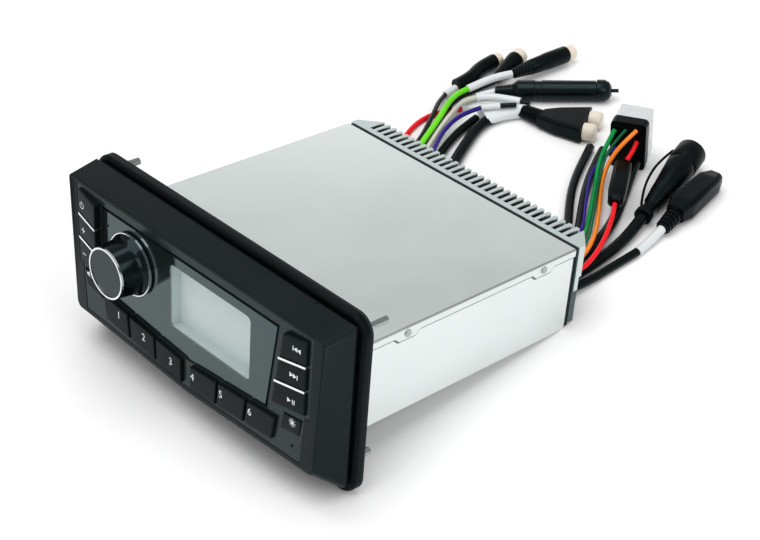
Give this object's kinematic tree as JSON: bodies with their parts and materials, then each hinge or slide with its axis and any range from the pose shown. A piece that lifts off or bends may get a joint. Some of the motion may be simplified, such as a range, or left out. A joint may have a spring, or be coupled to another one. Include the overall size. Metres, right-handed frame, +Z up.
{
  "type": "marine radio head unit",
  "caption": "Flush-mount boat stereo with a large black bezel, display, push keys, push-and-turn knob, metal chassis, finned rear heat sink and loose wiring leads.",
  "frame": {"origin": "bottom centre of the unit without its leads, which stands nose up on a bench, on the foot of its flange and the rear edge of its tray", "axes": "+Z up, +X to the right seen from the front, -Y towards the front; the unit leans back 9.19 degrees about X"},
  "size_m": [0.2354, 0.4048, 0.1006],
  "materials": {
    "mounting_flange": "satin",
    "flange_gasket": "matt closed-cell foam",
    "mounting_studs": "bright plated",
    "trim_bezel": "satin",
    "preset_key_1": "soft matt",
    "preset_key_2": "soft matt",
    "preset_key_3": "soft matt",
    "preset_key_4": "soft matt",
    "preset_key_5": "soft matt",
    "preset_key_6": "soft matt",
    "source_key": "soft matt",
    "level_up_key": "soft matt",
    "level_down_key": "soft matt",
    "previous_key": "soft matt",
    "next_key": "soft matt",
    "play_key": "soft matt",
    "mute_key": "soft matt",
    "dimmer_key": "soft matt",
    "key_trim_bars": "bright",
    "lens_plate": "high gloss",
    "display_window": "clear, gloss",
    "display_frame": "matt",
    "display_module": "satin",
    "fascia_panel": "satin",
    "front_board": "lacquered",
    "keypad_mat": "matt",
    "encoder_housing": "matt",
    "encoder_plunger": "matt",
    "encoder_shaft": "machined",
    "knob_body": "gloss",
    "knob_rings": "bright",
    "knob_face": "satin",
    "chassis_tray": "satin",
    "top_cover": "satin",
    "cover_rivets": "satin",
    "rear_gasket": "matt",
    "heat_sink": "bead blasted",
    "gland_plate": "matt",
    "lead_grommets": "matt",
    "main_board": "lacquered",
    "board_standoffs": "machined",
    "amplifier_chip": "matt",
    "reservoir_capacitors": "satin sleeve",
    "tuner_can": "tinned",
    "assembly_screws": "plated",
    "lead_wires": "satin; red, brown, lime, grey, cream, purple, violet, green, dark green and orange",
    "lead_cables": "satin",
    "lead_sleeves": "satin",
    "black_sleeves": "satin",
    "phono_plugs": "satin",
    "twin_plug": "satin",
    "plug_caps": "satin",
    "aerial_socket": "gloss",
    "socket_cap": "satin",
    "fuse_holder": "satin",
    "multiway_connector": "satin",
    "multiway_housing": "clear, gloss",
    "remote_plug": "satin",
    "network_plug": "satin"
  },
  "bodies": {
    "unit": {"mounting_flange": "mounting_flange", "flange_gasket": "flange_gasket", "mounting_studs": "mounting_studs", "trim_bezel": "trim_bezel", "key_trim_bars": "key_trim_bars", "lens_plate": "lens_plate", "display_window": "display_window", "display_frame": "display_frame", "display_module": "display_module", "fascia_panel": "fascia_panel", "front_board": "front_board", "keypad_mat": "keypad_mat", "encoder_housing": "encoder_housing", "chassis_tray": "chassis_tray", "top_cover": "top_cover", "cover_rivets": "cover_rivets", "rear_gasket": "rear_gasket", "heat_sink": "heat_sink", "gland_plate": "gland_plate", "lead_grommets": "lead_grommets", "main_board": "main_board", "board_standoffs": "board_standoffs", "amplifier_chip": "amplifier_chip", "reservoir_capacitors": "reservoir_capacitors", "tuner_can": "tuner_can", "assembly_screws": "assembly_screws", "lead_wires": "lead_wires", "lead_cables": "lead_cables", "lead_sleeves": "lead_sleeves", "black_sleeves": "black_sleeves", "phono_plugs": "phono_plugs", "twin_plug": "twin_plug", "plug_caps": "plug_caps", "aerial_socket": "aerial_socket", "socket_cap": "socket_cap", "fuse_holder": "fuse_holder", "multiway_connector": "multiway_connector", "multiway_housing": "multiway_housing", "remote_plug": "remote_plug", "network_plug": "network_plug"},
    "preset_key_1_cap": {"preset_key_1": "preset_key_1"},
    "preset_key_2_cap": {"preset_key_2": "preset_key_2"},
    "preset_key_3_cap": {"preset_key_3": "preset_key_3"},
    "preset_key_4_cap": {"preset_key_4": "preset_key_4"},
    "preset_key_5_cap": {"preset_key_5": "preset_key_5"},
    "preset_key_6_cap": {"preset_key_6": "preset_key_6"},
    "source_key_cap": {"source_key": "source_key"},
    "level_up_key_cap": {"level_up_key": "level_up_key"},
    "level_down_key_cap": {"level_down_key": "level_down_key"},
    "previous_key_cap": {"previous_key": "previous_key"},
    "next_key_cap": {"next_key": "next_key"},
    "play_key_cap": {"play_key": "play_key"},
    "mute_key_cap": {"mute_key": "mute_key"},
    "dimmer_key_cap": {"dimmer_key": "dimmer_key"},
    "knob_plunger": {"encoder_plunger": "encoder_plunger"},
    "knob": {"encoder_shaft": "encoder_shaft", "knob_body": "knob_body", "knob_rings": "knob_rings", "knob_face": "knob_face"}
  },
  "joints": [
    {"name": "preset_key_1_press", "type": "slide", "parent": "unit", "child": "preset_key_1_cap", "axis": [0, 0.9872, -0.1597], "range_m": [0, 0.0008], "stiffness_N_per_m": 1500, "springref_m": -0.0004},
    {"name": "preset_key_2_press", "type": "slide", "parent": "unit", "child": "preset_key_2_cap", "axis": [0, 0.9872, -0.1597], "range_m": [0, 0.0008], "stiffness_N_per_m": 1500, "springref_m": -0.0004},
    {"name": "preset_key_3_press", "type": "slide", "parent": "unit", "child": "preset_key_3_cap", "axis": [0, 0.9872, -0.1597], "range_m": [0, 0.0008], "stiffness_N_per_m": 1500, "springref_m": -0.0004},
    {"name": "preset_key_4_press", "type": "slide", "parent": "unit", "child": "preset_key_4_cap", "axis": [0, 0.9872, -0.1597], "range_m": [0, 0.0008], "stiffness_N_per_m": 1500, "springref_m": -0.0004},
    {"name": "preset_key_5_press", "type": "slide", "parent": "unit", "child": "preset_key_5_cap", "axis": [0, 0.9872, -0.1597], "range_m": [0, 0.0008], "stiffness_N_per_m": 1500, "springref_m": -0.0004},
    {"name": "preset_key_6_press", "type": "slide", "parent": "unit", "child": "preset_key_6_cap", "axis": [0, 0.9872, -0.1597], "range_m": [0, 0.0008], "stiffness_N_per_m": 1500, "springref_m": -0.0004},
    {"name": "source_key_press", "type": "slide", "parent": "unit", "child": "source_key_cap", "axis": [0, 0.9872, -0.1597], "range_m": [0, 0.0008], "stiffness_N_per_m": 1500, "springref_m": -0.0004},
    {"name": "level_up_key_press", "type": "slide", "parent": "unit", "child": "level_up_key_cap", "axis": [0, 0.9872, -0.1597], "range_m": [0, 0.0008], "stiffness_N_per_m": 1500, "springref_m": -0.0004},
    {"name": "level_down_key_press", "type": "slide", "parent": "unit", "child": "level_down_key_cap", "axis": [0, 0.9872, -0.1597], "range_m": [0, 0.0008], "stiffness_N_per_m": 1500, "springref_m": -0.0004},
    {"name": "previous_key_press", "type": "slide", "parent": "unit", "child": "previous_key_cap", "axis": [0, 0.9872, -0.1597], "range_m": [0, 0.0008], "stiffness_N_per_m": 1500, "springref_m": -0.0004},
    {"name": "next_key_press", "type": "slide", "parent": "unit", "child": "next_key_cap", "axis": [0, 0.9872, -0.1597], "range_m": [0, 0.0008], "stiffness_N_per_m": 1500, "springref_m": -0.0004},
    {"name": "play_key_press", "type": "slide", "parent": "unit", "child": "play_key_cap", "axis": [0, 0.9872, -0.1597], "range_m": [0, 0.0008], "stiffness_N_per_m": 1500, "springref_m": -0.0004},
    {"name": "mute_key_press", "type": "slide", "parent": "unit", "child": "mute_key_cap", "axis": [0, 0.9872, -0.1597], "range_m": [0, 0.0008], "stiffness_N_per_m": 1500, "springref_m": -0.0004},
    {"name": "dimmer_key_press", "type": "slide", "parent": "unit", "child": "dimmer_key_cap", "axis": [0, 0.9872, -0.1597], "range_m": [0, 0.0008], "stiffness_N_per_m": 1500, "springref_m": -0.0004},
    {"name": "knob_press", "type": "slide", "parent": "unit", "child": "knob_plunger", "axis": [0, 0.9872, -0.1597], "range_m": [0, 0.0007], "stiffness_N_per_m": 3000, "springref_m": -0.0004},
    {"name": "knob_turn", "type": "hinge", "parent": "knob_plunger", "child": "knob", "pos_m": [-0.0457, -0.09952, 0.07197], "axis": [0, -0.9872, 0.1597], "continuous": true}
  ]
}
